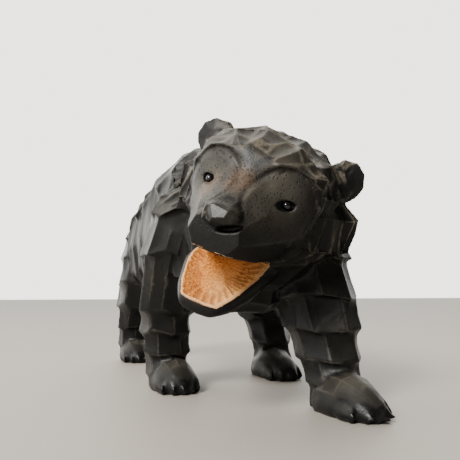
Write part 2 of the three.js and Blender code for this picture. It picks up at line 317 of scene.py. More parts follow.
MOUTH_CORNER = np.array([0, -19, -36.5])
JAW_DROP, PALATE_RISE = math.radians(33), math.radians(6)
floor_up = np.array([0, -math.sin(JAW_DROP), math.cos(JAW_DROP)])
palate_down = np.array([0, -math.sin(PALATE_RISE), -math.cos(PALATE_RISE)])
from_floor = np.abs((local - MOUTH_CORNER) @ floor_up)
from_palate = np.abs((local - MOUTH_CORNER) @ palate_down)
in_mouth = (Y < -18.5) & (np.abs(X) < 18.5) & (Z > -60)
mouth_away = np.where(in_mouth, np.minimum(from_floor, from_palate), 10.0)
print("face points", int(face.sum()), "mouth points", int((mouth_away < 0.2).sum()))

# %% [markdown]
# Every later step asks how close a point is to a ridge or to a step. Samples along the folds, sorted in a
# k-d tree, answer that quickly. Folds that the knife has cleaned off the face and the ears are left out.


# %% How far each point is from a ridge or a step
def samples(chosen, gap=0.3 * MM):
    """Points close together along the chosen folds."""
    a, b = (corners[fold_ends[chosen, i]] for i in range(2))
    numbers = np.maximum(2, np.ceil(np.linalg.norm(b - a, axis=1) / gap).astype(int) + 1)
    return np.concatenate([p + (q - p) * np.linspace(0, 1, n)[:, None] for p, q, n in zip(a, b, numbers)])


def nearest(points, targets):
    """How far each point is from the closest target, in millimetres."""
    tree = kdtree.KDTree(len(targets))
    for i, target in enumerate(targets):
        tree.insert(target, i)
    tree.balance()
    return np.array([tree.find(p)[2] for p in points]) / MM


EAR_AT = np.array([25.6, -1, -1])
EAR_HALF = (7.2, 7, 8)
OTHER_SIDE = (-1, 1, 1)


def smoothed_away(points):
    """Where the knife has cleaned the small facets off: the eye planes, the brow's point and the ears."""
    local = seen_from(head, points)
    x, y, z = local.T
    eye_planes = (in_arches(local) < 0.95) & (z > -24) & (np.abs(x) > 8) & (y > -40)
    brow_point = in_egg(local, (0, -36, -6), (9, 9, 6)) < 1
    left_ear = in_egg(local, EAR_AT, EAR_HALF) < 1
    right_ear = in_egg(local, EAR_AT * OTHER_SIDE, EAR_HALF) < 1
    return eye_planes | brow_point | left_ear | right_ear


ridge_points = samples(ridge)
ridge_points = ridge_points[~smoothed_away(ridge_points)]
ridge_away = nearest(surface, ridge_points)
step_away = nearest(surface, samples(step))
print(len(ridge_points), "ridge samples hold", int((ridge_away < 0.02).sum()), "points")

# %% [markdown]
# Smoothing is a loop: each point moves part of the way to the middle of its neighbours. How far it may go is
# its freedom, nearly nothing on a ridge and all of it in the middle of a trough. Blender's Smooth modifier
# does the same, but it reads its strength from a vertex group and can't be mixed with the steps below.


# %% Smoothing
def relax(points, freedom, times):
    """Each point drifts towards the middle of its neighbours as far as its freedom lets it."""
    for _ in range(times):
        points = points + 0.5 * freedom[:, None] * (gather(points) - points)
    return points


print("smoothing moves each point by its own freedom")

# %% [markdown]
# The paws are the bear's only rounded forms: a curved row of toes, each with a blunt claw. Each row has a
# small frame of its own at the paw's front, turned the way the paw points. Points in front of the row are
# claws, and they are pushed back a little, which blunts them.

# %% Paws and claws
TOE_LINES = {(33, -90): 8, (-22, -23): 6, (37, -5): 4, (-29, 84): 0}
PAW_HALF, PAW_BACK, PAW_FRONT = 15, 24, -8
TOE_PITCH, TOE_CURVE = 4.4, 1.1
BLUNT = 0.4
claws = np.zeros(count)
paws = np.zeros(count)
for (x, y), turn in TOE_LINES.items():
    toes = Matrix.Translation(Vector((x, y, 0)) * MM + SHIFT) @ Matrix.Rotation(math.radians(turn), 4, "Z")
    sideways, back, high = seen_from(toes, surface).T
    beside = (np.abs(sideways) < PAW_HALF) & (back < PAW_BACK) & (back > PAW_FRONT)
    before_line = back - TOE_CURVE * (sideways / TOE_PITCH) ** 2
    claws = np.maximum(claws, beside * ramp(before_line, 1.2, -0.6))
    paws = np.maximum(paws, beside * ramp(high + 0.35 * back, 17, 13))
    pushed = -BLUNT * np.minimum(before_line, 0) * beside * ramp(high, 15, 12)
    surface += np.array(toes.to_3x3() @ Vector((0, 1, 0))) * (pushed * MM)[:, None]
print("claws", int((claws > 0.5).sum()), "points, paws", int((paws > 0.5).sum()))

# %% [markdown]
# The first smoothing rounds every facet a little and leaves the ridges crisp. The wood right round a bead
# doesn't move, so each socket keeps its gap.

# %% First smoothing
RIDGE_HOLD = 1.3
LEAST_FREEDOM = 0.12
held = ramp(ridge_away, 0.0, RIDGE_HOLD)
held = np.maximum(held, 0.5 * paws)
freedom = LEAST_FREEDOM + (1 - LEAST_FREEDOM) * held
freedom *= ramp(bead_away, 2.2, 3.2)
surface = relax(surface, freedom, 10)
print(int((held > 0.99).sum()), "points are free")

# %% [markdown]
# Under the brow the knife took the wood down to two smooth planes that sweep from the crown to the eyes. The
# CAD block is too deep just inside the brow, so the points there come forward to a given profile. Then
# each plane relaxes like a cloth stretched between its edges.

# %% The smooth planes under the brow
forward = along_head((0, -1, 0))
BROW_ASIDE = (0, 4, 9, 14, 18, 22, 27)
BROW_FRONT = (-34.5, -33.8, -32.2, -30.8, -29, -25.5, -19)
BROW_LEAN = 0.25
BROW_MIDDLE = -10
brow_front = np.interp(np.abs(X), BROW_ASIDE, BROW_FRONT) + BROW_LEAN * (Z - BROW_MIDDLE)
too_deep = np.maximum(Y - brow_front, 0) * ramp(in_arches(local), 1.03, 1.0) * ramp(Z, -22, -15)
too_deep *= ramp(Y, -12, -18) * ramp(bead_away, 2.2, 3.5)
surface += forward * (too_deep * MM)[:, None]
eye_planes = (in_arches(local) < 1.01) & (Z > -26) & (np.abs(X) > 7) | smoothed_away(surface)
surface = relax(surface, 1.9 * eye_planes * ramp(bead_away, 2.2, 4.5) * held, 120)
brow_tip = ramp(in_egg(local, (-1.5, -33.5, -5.5), (11, 10, 7)), 1.0, 0.6)
surface = relax(surface, 1.8 * brow_tip, 60)
surface = relax(surface, 0.8 * claws, 10)
print("the planes come forward by up to", round(too_deep.max(), 1), "mm")

# %% [markdown]
# One stepped cut follows each arch of the brow and parts the smooth face from the crown's facets. It is less
# than 1 mm deep, and stain has gathered in it, so it also counts as a step for the finish.

# %% The brow's stepped edge
ARCH_STEP = 0.9
ARCH_EDGE = 0.965
ARCH_SIZE = 14
NO_STEP = 10.0
arch = in_arches(seen_from(head, surface))
in_front = ramp(Z, -24, -18) * ramp(Y, -20, -25)
surface -= forward * (ARCH_STEP * MM * in_front * ramp(arch, 1.0, 0.94) * ramp(arch, 0.78, 0.93))[:, None]
step_away = np.where((arch < 1.06) & (Z > -26), NO_STEP, step_away)
arch_line = np.abs(arch - ARCH_EDGE) * ARCH_SIZE + 0.5
step_away = np.where(in_front > 0.5, np.minimum(step_away, arch_line), step_away)
print("the brow's edge has", int((in_front * (arch_line < 1) > 0.5).sum()), "points")

# %% [markdown]
# Now every facet is hollowed, most at its middle and not at all on its ridges. The face, the mouth's cuts,
# the paws and the soles stay as the knife left them.

# %% Hollow troughs
TROUGH = 0.5
TROUGH_REACH = 4.5
share = np.clip(ridge_away / TROUGH_REACH, 0, 1)
rough = (1 - face) * ramp(mouth_away, 0.1, 0.6) * ramp(surface[:, 2] / MM, 0.3, 2.0)
rough *= (1 - 0.85 * paws) * (1 - brow_tip)
sink = TROUGH * (1 - (1 - share) ** 2) * rough
surface = surface - outward(surface) * sink[:, None] * MM
surface = relax(surface, freedom * 0.8, 4)
print("the troughs are up to", round(sink.max(), 2), "mm deeper")

# %% [markdown]
# Within each tuft the carver made smaller cuts. They are drawn as cells that are long in the fur's direction:
# every point belongs to the closest of many scattered centres, each cell is hollow, and its borders are
# ridges. The sine of a large number looks random and is the same each time, which scatters the centres.

# %% Cells
SCATTER = np.array([[127.1, 269.5, 113.5], [311.7, 183.3, 271.9], [74.7, 246.1, 124.6]])
NEIGHBOURHOOD = (-1, 0, 1)


def cells(points):
    """For points in units of a cell: how far they are, in cells, from the border with the next cell."""
    home = np.floor(points)
    best = np.full((len(points), 2), 9.0)
    for step_x in NEIGHBOURHOOD:
        for step_y in NEIGHBOURHOOD:
            for step_z in NEIGHBOURHOOD:
                corner = home + (step_x, step_y, step_z)
                centre = corner + 0.5 + 0.42 * np.sin(corner @ SCATTER * 43.7)
                away = np.linalg.norm(points - centre, axis=1)
                further = np.maximum(best[:, 0], away)
                best[:, 1] = np.minimum(best[:, 1], further)
                best[:, 0] = np.minimum(best[:, 0], away)
    return (best[:, 1] - best[:, 0]) / 2


print("each point looks at", len(NEIGHBOURHOOD) ** 3, "centres")

# %% [markdown]
# The cuts are about 11 mm wide and 26 mm long on the body, and 8 mm wide on the crown. On the ruff beside the
# cheeks they are long narrow flutes instead, side by side like pleats, so there a plain repeat does it.

# %% Smaller cuts within the tufts
BODY_CUT = np.array([11, 11, 26])
CROWN_CUT = np.array([8, 13, 8])
FLUTE = 3.9
CUT_SLOPE = 1.8
BODY_DEPTH, CROWN_EXTRA, RUFF_EXTRA = 0.14, 0.2, 0.85
crown = ramp(Z, -26, -18) * ramp(Y, 10, 4) * ramp(np.abs(X), 30, 26) * on_head(local)
ruff = ramp(np.abs(X), 21, 25) * ramp(Z, -3, -7) * ramp(Z, -34, -28) * ramp(Y, 9, 5) * on_head(local)
crown *= 1 - ruff
on_crown = CROWN_CUT[0] * cells(local / CROWN_CUT)
on_body = BODY_CUT[0] * cells(surface / MM / BODY_CUT)
border = np.where(crown > 0.5, on_crown, on_body)
pleat = np.abs((Y + 0.25 * Z + 0.7 * np.sin(Z / 5)) / FLUTE % 1 - 0.5) * FLUTE
border = np.where(ruff > 0.5, FLUTE / 2 - pleat, border)
hollow = 1 - (1 - np.clip(border / CUT_SLOPE, 0, 1)) ** 2
small = (BODY_DEPTH + CROWN_EXTRA * crown + RUFF_EXTRA * ruff) * rough * hollow
small *= 1 - smoothed_away(surface) * (1 - crown)
surface = surface - outward(surface) * small[:, None] * MM
surface = relax(surface, 0.3 * ruff, 2)
new_ridge = border + 0.6 * (1 - np.maximum(crown, ruff))
ridge_away = np.minimum(ridge_away, np.where(rough > 0.5, new_ridge, 9.0))
print("small cuts up to", round(small.max(), 2), "mm deep")

# %% [markdown]
# The right ear is a broader shell than the left one. Its outer half is stretched sideways, in the head's
# frame, which keeps the crown where it is.

# %% A broader right ear
EAR_WIDER = 0.2
EAR_INSIDE = -21
right_ear = ramp(in_egg(local, (-27, -1, -1), (10, 9, 11)), 1.15, 0.9)
wider = EAR_WIDER * right_ear * np.minimum(X - EAR_INSIDE, 0)
across = along_head((1, 0, 0))
surface += across * (wider * MM)[:, None]
print("the right ear reaches", round(-wider.min(), 1), "mm further out")

# %% [markdown]
# The lower jaw is cut a little broader on the bear's right, so its floor shows as a wide tongue of bare wood.
# Moving points sideways only, in the head's frame, keeps the floor flat.

# %% A broader jaw
JAW_WIDER = 0.12
JAW_ASIDE = -1.0
jaw = ramp(Z, -36.6, -42) * ramp(Z, -75, -62) * ramp(Y, -14, -24)
shifted = jaw * (JAW_WIDER * X + JAW_ASIDE)
surface += across * (shifted * MM)[:, None]
rim_of_jaw = jaw * ramp(np.abs(surface[:, 2] / MM), 20, 22) * (Y < -20)
surface = relax(surface, 0.8 * rim_of_jaw, 12)
print("the jaw moves by up to", round(np.abs(shifted).max(), 1), "mm")

# %% [markdown]
# ## The mouth and the nose
# The mouth's floor is raw wood, roughed with short gouge cuts that fan out towards its rim, round a stippled
# middle. A bump map would do for the stipple, but the cuts at the rim catch the light and show in outline, so
# all of it is moved points.


# %% Gouge cuts on the mouth's floor
def speckle(points, size, seed):
    """Smooth noise between -1 and 1 with lumps of that size in millimetres."""
    return np.array([noise.noise(Vector(p / size) + Vector((seed, 0, 0))) for p in points])


FAN_CENTRE = 13.0
CUTS_ROUND = 30
CUT_DEPTH = 0.9
STIPPLE, STIPPLE_DEPTH = 1.3, 0.2
RAISED = 0.25
on_floor = in_mouth & (from_floor < 0.2)
floor_points = local[on_floor]
out_along = (floor_points - MOUTH_CORNER) @ np.array([0, -math.cos(JAW_DROP), -math.sin(JAW_DROP)])
angle = np.arctan2(floor_points[:, 0], out_along - FAN_CENTRE)
turn = angle / (2 * math.pi) * CUTS_ROUND + 0.35 * speckle(floor_points, 6.0, 3.1)
scallop = np.abs(np.sin(math.pi * turn))
rim = ridge_away[on_floor]
cut_end = 6 + 2.5 * speckle(floor_points, 5.0, 7.7)
fan = ramp(rim, 0.5, 1.6) * ramp(rim, cut_end + 1.2, cut_end - 0.6)
dig = CUT_DEPTH * fan * scallop**0.7
dig += STIPPLE_DEPTH * speckle(floor_points, STIPPLE, 1.0) * ramp(rim, 0.3, 1.0)
dig -= RAISED * ramp(rim, 5, 9)
surface[on_floor] -= along_head(floor_up) * (dig * MM)[:, None]
dug = np.zeros(count)
dug[on_floor] = dig
on_palate = in_mouth & (from_palate < 0.2) & ~on_floor
mouth_away[on_palate & (ridge_away < 1.0)] = 10.0
print(int(on_floor.sum()), "points on the floor, cut up to", round(dig.max(), 2), "mm deep")

# %% [markdown]
# The nose is a small block with flat faces, each left by one push of the knife. A flat cut is a plane, and
# the wood that five such cuts leave is, at each point, as far back as the furthest of them.


# %% The nose's flat cuts
def flat_cut(through, facing, points):
    """How far back a flat cut lies at each point, for a cut through one point that faces one way."""
    x, y, z = through
    slope = (facing[0] * (points[:, 0] - x) + facing[2] * (points[:, 2] - z)) / facing[1]
    return y - slope


NOSE_CUTS = {
    "top": ((-0.3, -54.3, -20.9), (-0.10, -0.92, 0.38)),
    "front": ((0.6, -54.9, -22.4), (0.24, -0.74, -0.63)),
    "right": ((-2.3, -54.0, -21.5), (-0.70, -0.70, -0.14)),
    "left": ((3.0, -54.6, -21.6), (0.62, -0.75, 0.20)),
    "bridge": ((-1.0, -53.4, -19.0), (0.0, -0.60, 0.80)),
}
NOSE_AT, NOSE_HALF = (0.4, -53.2, -21.6), (5.8, 6.5, 4.4)
local = seen_from(head, surface)
planes = np.max([flat_cut(through, facing, local) for through, facing in NOSE_CUTS.values()], axis=0)
on_nose = ramp(in_egg(local, NOSE_AT, NOSE_HALF), 1.0, 0.75)
surface -= forward * (on_nose * (planes - local[:, 1]) * MM)[:, None]
print("the nose has", len(NOSE_CUTS), "flat cuts")

# %% [markdown]
# Under the nose one short cut of the gouge, sloping a little, stands for both nostrils.

# %% The cut under the nose
NOSTRIL_AT = (4.2, -24.6)
NOSTRIL_HALF = (4.4, 1.25)
NOSTRIL_DEPTH = 2.2
NOSTRIL_SLOPE = math.radians(22)
spot = seen_from(head, surface)
x, z = spot[:, 0] - NOSTRIL_AT[0], spot[:, 2] - NOSTRIL_AT[1]
along = (x * math.cos(NOSTRIL_SLOPE) + z * math.sin(NOSTRIL_SLOPE)) / NOSTRIL_HALF[0]
up = (z * math.cos(NOSTRIL_SLOPE) - x * math.sin(NOSTRIL_SLOPE)) / NOSTRIL_HALF[1]
nostril = np.where(spot[:, 1] < -44, np.sqrt(along**2 + up**2), 9.0)
surface -= forward * (NOSTRIL_DEPTH * ramp(nostril, 1.1, 0.6) * MM)[:, None]
print("the nostrils take in", int((nostril < 1).sum()), "points")

# %% [markdown]
# Each bead sits in a shallow oval cut that slants towards the nose, a little lower at its inner end.

# %% The eyes' oval cuts
LID = (2.9, 1.9)
LID_SLANT = math.radians(12)
LID_DEPTH = 0.5
lid = np.full(count, 9.0)
for side, bead_at in zip((1, -1), (beads["eye_left"], beads["eye_right"])):
    spot = seen_from(head, surface) - np.array(to_head @ bead_at) / MM
    slant = side * LID_SLANT
    along = spot[:, 0] * math.cos(slant) + spot[:, 2] * math.sin(slant)
    up = spot[:, 2] * math.cos(slant) - spot[:, 0] * math.sin(slant)
    oval = (along / LID[0]) ** 2 + (up / LID[1]) ** 2
    lid = np.where(np.abs(spot[:, 1]) < 5, np.minimum(lid, oval), lid)
surface -= forward * (LID_DEPTH * MM * ramp(lid, 1.05, 0.7) * ramp(bead_away, 1.75, 2.0))[:, None]
print("the ovals take in", int((lid < 1).sum()), "points")

# %% [markdown]
# The points go back into the mesh, which takes the place of the CAD block. What was measured on the way, such
# as how far each point is from a ridge, is kept on the mesh as attributes. The finish reads them, so colour
# and carving always agree.

# %% The carved bear
net.vertices.foreach_set("co", surface.ravel())
bear = bpy.data.objects.new("bear", net)
scene.collection.objects.link(bear)
FURTHEST = 10


def remember(name, values):
    """A number kept at every point, for the finish to read."""
    layer = net.attributes.new(name, "FLOAT", "POINT")
    layer.data.foreach_set("value", values.astype(np.float32))


remember("ridge_mm", np.minimum(ridge_away, FURTHEST))
remember("step_mm", np.minimum(step_away, FURTHEST))
remember("mouth_mm", mouth_away)
# the eye ovals and the cut under the nose, which the finish paints black; in the nose cut that black is a
# painted shade
remember("lid", np.minimum(lid, nostril))
remember("face", face * ramp(Z, -29, -24) * (1 - on_nose))
remember("dug_mm", dug)
# paler towards the bear's left of the mouth floor: painted light where the palate shades the floor
remember("painted_light_on_left", 0.55 * ramp(X, -4, 9))
net.update()
net.shade_smooth()
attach(bear, "root")
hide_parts("carved_bear")
print("the bear has", len(net.polygons), "triangles")

# %% [markdown]
# ## Where hands have worn the finish
# A figure like this is picked up by its back and its head. The stain is thin where it is rubbed: on the
# bridge and the side of the nose, on the lip, round the right eye and on the right cheek. Painting a weight
# map by hand would do it too, but a soft ball of influence at each place is easier to move. Claws and nose
# are burnished smooth.


# %% Rubbed places
def near(points, centre, size):
    """1 at a place, falling smoothly to 0 at that many millimetres from it."""
    return ramp(np.linalg.norm((points - np.array(centre)) / np.array(size), axis=1), 1.0, 0.2)


local = seen_from(head, surface)
rubbed = np.max(
    [
        0.95 * near(local, (-2, -38, -11), (10, 17, 12)),
        0.95 * near(local, (-12, -36, -17), (10, 14, 16)),
        0.7 * near(local, (-6, -52, -22), (4, 6, 5)),
        0.45 * near(local, (6, -51, -27.5), (4, 5, 2.5)),
        0.5 * near(local, (-20, -28, -28), (9, 14, 14)),
    ],
    axis=0,
)
nose = near(local, (0, -53, -20.5), (8, 5, 6))
remember("rubbed", rubbed)
remember("burnished", np.maximum(0.6 * claws, 0.3 * nose))
print("rubbed", int((rubbed > 0.5).sum()), "points")

# %% [markdown]
# Ridges wear first, in patches about 14 mm across, and more on the crown and the ruff than on the body. How
# far the surface faces up, and the crown, set a paler grey that is partly stain faded by light and partly a
# painted sheen of the light from above.

# %% Wear, fading and painted sheen
PATCH = 14.0
BODY_WEAR, CROWN_WEAR, RUFF_WEAR = 0.16, 0.2, 0.34
patches = ramp(speckle(surface / MM, PATCH, 5.0), -0.25, 0.3)
wear = (BODY_WEAR + CROWN_WEAR * crown + RUFF_WEAR * ruff) * (0.25 + patches)
wear = wear * (1 - 0.9 * paws) * (1 - 0.75 * face) + 0.12 * rubbed
# faces that look up are painted paler: partly faded stain, partly a painted sheen of the light from above
upward_fade_and_sheen = 0.65 * ramp(outward(surface)[:, 2], 0.0, 0.9)
faded_and_top_sheen = np.maximum(upward_fade_and_sheen, 0.8 * crown * ramp(local[:, 0], 24, 6)) * (1 - 0.6 * paws)
remember("wear", wear)
remember("faded_and_top_sheen", faded_and_top_sheen)
net.update()
print("worn", int((wear > 0.3).sum()), "points, faded", int((faded_and_top_sheen > 0.5).sum()))

# %% [markdown]
# ## The finish
# The wood is limewood, close-grained and pale orange-brown when fresh. It is brushed with black stain and
# waxed, so it is nearly black with a low sheen that shows every facet. The stain is thin on the ridges, where
# grey-brown wood shows, and it has pooled in the steps. All of it is one material, because it is one piece
# of wood, and each part of the look has its own few nodes.

# %% Coordinates in millimetres, and the numbers kept at the points
wood = bpy.data.materials.new("black_stained_limewood")
wood.use_nodes = True
tree = wood.node_tree
place = add(tree, "ShaderNodeTexCoord").outputs["Object"]
in_mm = add(tree, "ShaderNodeMapping", Vector=place, Scale=(1000, 1000, 1000)).outputs["Vector"]
NUMBERS = (
    "ridge_mm", "step_mm", "mouth_mm", "dug_mm", "lid", "face",
    "rubbed", "burnished", "wear", "faded_and_top_sheen", "painted_light_on_left",
)
kept = {name: add(tree, "ShaderNodeAttribute", {"attribute_name": name}).outputs["Fac"] for name in NUMBERS}
print("the finish reads", list(kept))

# %% [markdown]
# The block's grain runs along the body. Limewood's fibres are too fine to see, about 0.05 mm, so they are
# drawn 0.5 mm wide and 12 mm long. The same stretched noise colours the stain and makes the fine relief. Two
# more noises serve every later step: a fine one for flecks and a broad one for clouds.

# %% Grain, flecks and clouds
FIBRE, FIBRE_LONG = 0.5, 12
FLECK = 0.7
CLOUD = 16
stretched = add(tree, "ShaderNodeMapping", Vector=in_mm, Scale=(1 / FIBRE, 1 / FIBRE_LONG, 1 / FIBRE))
stretched = stretched.outputs["Vector"]
grain = add(tree, "ShaderNodeTexNoise", Vector=stretched, Scale=1.0, Detail=3.0).outputs["Fac"]
fine = add(
    tree, "ShaderNodeTexNoise", Vector=in_mm, Scale=1 / FLECK, Detail=4.0, Roughness=0.7
).outputs["Fac"]
cloud = add(tree, "ShaderNodeTexNoise", Vector=in_mm, Scale=1 / CLOUD, Detail=3.0).outputs["Fac"]
print("fibres", FIBRE, "mm, flecks", FLECK, "mm, clouds", CLOUD, "mm")

# %% [markdown]
# Black stain isn't even: it dries cooler where it is thick and warmer where it is thin, in clouds about
# 16 mm across. A few fibres take less of it and show as slightly paler streaks.

# %% The stain
shades = add(tree, "ShaderNodeMapRange", _0=cloud, _1=0.38, _2=0.62).outputs[0]
stain = add(
    tree, "ShaderNodeMix", {"data_type": "RGBA"}, _0=shades, _6=colour("#07080a"), _7=colour("#0d0c0b")
).outputs[2]
fibres = add(tree, "ShaderNodeMapRange", _0=grain, _1=0.35, _2=0.7, _3=0.0, _4=0.3).outputs[0]
stain = add(
    tree, "ShaderNodeMix", {"data_type": "RGBA"}, _0=fibres, _6=stain, _7=colour("#211f1c")
).outputs[2]
print("stain between a cool and a warm black")

# %% [markdown]
# On the crown, the back and every face that looks up, the stain is painted a warm grey, more in some clouds
# than in others. It is partly faded stain and partly a painted sheen of the light from above.

# %% Faded stain and painted sheen
# the warm grey is partly faded stain and partly a painted sheen from above
fade_and_sheen_mix = add(tree, "ShaderNodeMath", {"operation": "MULTIPLY"}, _0=kept["faded_and_top_sheen"], _1=shades).outputs[0]
fade_and_sheen_mix = add(
    tree, "ShaderNodeMath", {"operation": "MULTIPLY_ADD"}, _0=kept["faded_and_top_sheen"], _1=0.5, _2=fade_and_sheen_mix
).outputs[0]
fade_and_sheen_mix = add(tree, "ShaderNodeMath", {"operation": "MULTIPLY"}, _0=fade_and_sheen_mix, _1=0.5).outputs[0]
stain = add(
    tree, "ShaderNodeMix", {"data_type": "RGBA"}, _0=fade_and_sheen_mix, _6=stain, _7=colour("#4e4a42")
).outputs[2]
print("faded to a warm grey")

# %% [markdown]
# On a ridge the wax and the stain are rubbed away in a line about 1 mm wide, broken by the wood's own
# roughness. Blender's Pointiness would find ridges too, but it is lost in an exported model, and the kept
# distance isn't.

# %% Worn ridges
near_ridge = add(
    tree, "ShaderNodeMapRange", _0=kept["ridge_mm"], _1=0.55, _2=0.05, _3=0.0, _4=1.0
).outputs[0]
broken = add(tree, "ShaderNodeMapRange", _0=fine, _1=0.3, _2=0.6, _3=0.15, _4=1.0).outputs[0]
worn = add(tree, "ShaderNodeMath", {"operation": "MULTIPLY"}, _0=near_ridge, _1=broken).outputs[0]
worn = add(tree, "ShaderNodeMath", {"operation": "MULTIPLY"}, _0=worn, _1=kept["wear"]).outputs[0]
stain = add(
    tree, "ShaderNodeMix", {"data_type": "RGBA"}, _0=worn, _6=stain, _7=colour("#857c6d")
).outputs[2]
print("ridges worn to grey-brown")

# %% [markdown]
# Stain runs into every step, where no hand reaches it, and stays at its blackest there. The cut under the
# nose and the ovals round the beads are painted the same black. Under the nose that black is a painted shade
# below the nose's overhang.

# %% Pooled stain, and painted shade under the nose
near_step = add(tree, "ShaderNodeMapRange", _0=kept["step_mm"], _1=1.6, _2=0.2, _3=0.0, _4=0.8).outputs[0]
# the cut under the nose and the eye ovals are painted black: a painted shade in the cut under the nose
nostril_shade_and_eye_ovals = add(tree, "ShaderNodeMapRange", _0=kept["lid"], _1=1.1, _2=0.85, _3=0.0, _4=1.0).outputs[0]
pooled_stain_and_shade = add(tree, "ShaderNodeMath", {"operation": "MAXIMUM"}, _0=near_step, _1=nostril_shade_and_eye_ovals).outputs[0]
stain = add(
    tree, "ShaderNodeMix", {"data_type": "RGBA"}, _0=pooled_stain_and_shade, _6=stain, _7=colour("#060607")
).outputs[2]
print("stain pooled in the steps")

# %% [markdown]
# Where it is rubbed most the stain is gone and brown wood shows. Adding fine noise to the kept number before
# it is cut off makes the edge of each place break up, as real wear does.

# %% Rubbed through to brown wood
through = add(tree, "ShaderNodeMath", {"operation": "MULTIPLY_ADD"}, _0=fine, _1=1.6, _2=-1.1).outputs[0]
through = add(tree, "ShaderNodeMath", {"operation": "ADD"}, _0=through, _1=kept["rubbed"]).outputs[0]
through = add(tree, "ShaderNodeMapRange", _0=through, _1=0.25, _2=1.1, _3=0.0, _4=0.8).outputs[0]
stain = add(
    tree, "ShaderNodeMix", {"data_type": "RGBA"}, _0=through, _6=stain, _7=colour("#66503f")
).outputs[2]
print("rubbed through to brown")

# %% [markdown]
# The face was worked over with the point of a tool, which leaves pinpricks about 1 mm apart. Stain fills
# them, so they are black dots on the rubbed wood and a fine roughness elsewhere.

# %% Pinpricks on the face
PRICK = 1.1
pricks = add(tree, "ShaderNodeTexVoronoi", Vector=in_mm, Scale=1 / PRICK).outputs["Distance"]
pits = add(tree, "ShaderNodeMapRange", _0=pricks, _1=0.34, _2=0.14, _3=0.0, _4=1.0).outputs[0]
pits = add(tree, "ShaderNodeMath", {"operation": "MULTIPLY"}, _0=pits, _1=kept["face"]).outputs[0]
dots = add(tree, "ShaderNodeMath", {"operation": "MULTIPLY"}, _0=pits, _1=0.8).outputs[0]
stain = add(
    tree, "ShaderNodeMix", {"data_type": "RGBA"}, _0=dots, _6=stain, _7=colour("#060606")
).outputs[2]
print("pinpricks", PRICK, "mm apart")

# %% [markdown]
# The mouth was opened last, through the stain, so its floor and palate are bare wood. Fresh limewood is dull
# all over, with brown flecks. The finish paints it darker in the cuts, a painted shade, and paler in a line
# round the rim, a painted highlight. Towards the bear's left it is painted paler, a painted light on the part
# of the floor that the palate shades.

# %% Bare wood in the mouth
fleck = add(tree, "ShaderNodeMapRange", _0=fine, _1=0.42, _2=0.62).outputs[0]
bare = add(
    tree, "ShaderNodeMix", {"data_type": "RGBA"}, _0=fleck, _6=colour("#8a4d18"), _7=colour("#d08a3e")
).outputs[2]
# paler towards the bear's left: painted light on the floor that the palate shades
bare = add(
    tree, "ShaderNodeMix", {"data_type": "RGBA"}, _0=kept["painted_light_on_left"], _6=bare, _7=colour("#f3c07c")
).outputs[2]
# darker in the gouge cuts: painted shade in their valleys
painted_shade_in_cuts = add(tree, "ShaderNodeMapRange", _0=kept["dug_mm"], _1=0.15, _2=0.8, _3=0.0, _4=0.55).outputs[0]
bare = add(
    tree, "ShaderNodeMix", {"data_type": "RGBA"}, _0=painted_shade_in_cuts, _6=bare, _7=colour("#8f5226")
).outputs[2]
# a pale line round the rim: a painted highlight along the cut's edge
painted_rim_highlight = add(tree, "ShaderNodeMapRange", _0=kept["ridge_mm"], _1=0.5, _2=0.2, _3=0.0, _4=0.8).outputs[0]
bare = add(
    tree, "ShaderNodeMix", {"data_type": "RGBA"}, _0=painted_rim_highlight, _6=bare, _7=colour("#c9a27c")
).outputs[2]
cut = add(tree, "ShaderNodeMapRange", _0=kept["mouth_mm"], _1=0.5, _2=0.25, _3=0.0, _4=1.0).outputs[0]
finished = add(tree, "ShaderNodeMix", {"data_type": "RGBA"}, _0=cut, _6=stain, _7=bare).outputs[2]
print("bare wood within 0.25 mm of the mouth's two cuts")

# %% [markdown]
# Wax gives the stained wood a soft sheen, a roughness of about 0.3 to 0.5. Bare wood scatters light all ways,
# 0.85, and burnished claws come closest to a polish, 0.2.

# %% Sheen
BURNISHED, BARE = 0.2, 0.85
gloss = add(tree, "ShaderNodeMapRange", _0=cloud, _1=0.3, _2=0.7, _3=0.3, _4=0.44).outputs[0]
gloss = add(tree, "ShaderNodeMath", {"operation": "MULTIPLY_ADD"}, _0=fine, _1=0.12, _2=gloss).outputs[0]
gloss = add(
    tree, "ShaderNodeMix", {"data_type": "FLOAT"}, _0=kept["burnished"], _2=gloss, _3=BURNISHED
).outputs[0]
gloss = add(tree, "ShaderNodeMix", {"data_type": "FLOAT"}, _0=cut, _2=gloss, _3=BARE).outputs[0]
print("roughness from", BURNISHED, "to", BARE)

# %% [markdown]
# The grain, the flecks and the pinpricks are only about 0.1 mm deep, far finer than the mesh, so they are a
# bump. Wood and wax bend light by about 1.5. The specular level is low, since open grain breaks the wax.

# %% Fine relief and the shader
RELIEF = 0.08 * MM
relief = add(tree, "ShaderNodeMath", {"operation": "MULTIPLY_ADD"}, _0=grain, _1=0.5, _2=fine).outputs[0]
relief = add(tree, "ShaderNodeMath", {"operation": "MULTIPLY_ADD"}, _0=pits, _1=-1.5, _2=relief).outputs[0]
shallow = add(tree, "ShaderNodeBump", Strength=1.0, Distance=RELIEF, Height=relief)
shader = tree.nodes["Principled BSDF"]
shader.inputs["IOR"].default_value = 1.5
shader.inputs["Specular IOR Level"].default_value = 0.18
tree.links.new(finished, shader.inputs["Base Color"])
tree.links.new(gloss, shader.inputs["Roughness"])
tree.links.new(shallow.outputs["Normal"], shader.inputs["Normal"])
net.materials.clear()
net.materials.append(wood)
print("the wood's finish has", len(tree.nodes), "nodes")

# %% [markdown]
# ## The eyes
# Each eye is a black glass bead, a drop of glass melted onto a short wire that is pushed into the wood. Glass
# this dark lets nothing through, so it is modelled by its surface: very smooth, with one sharp highlight.

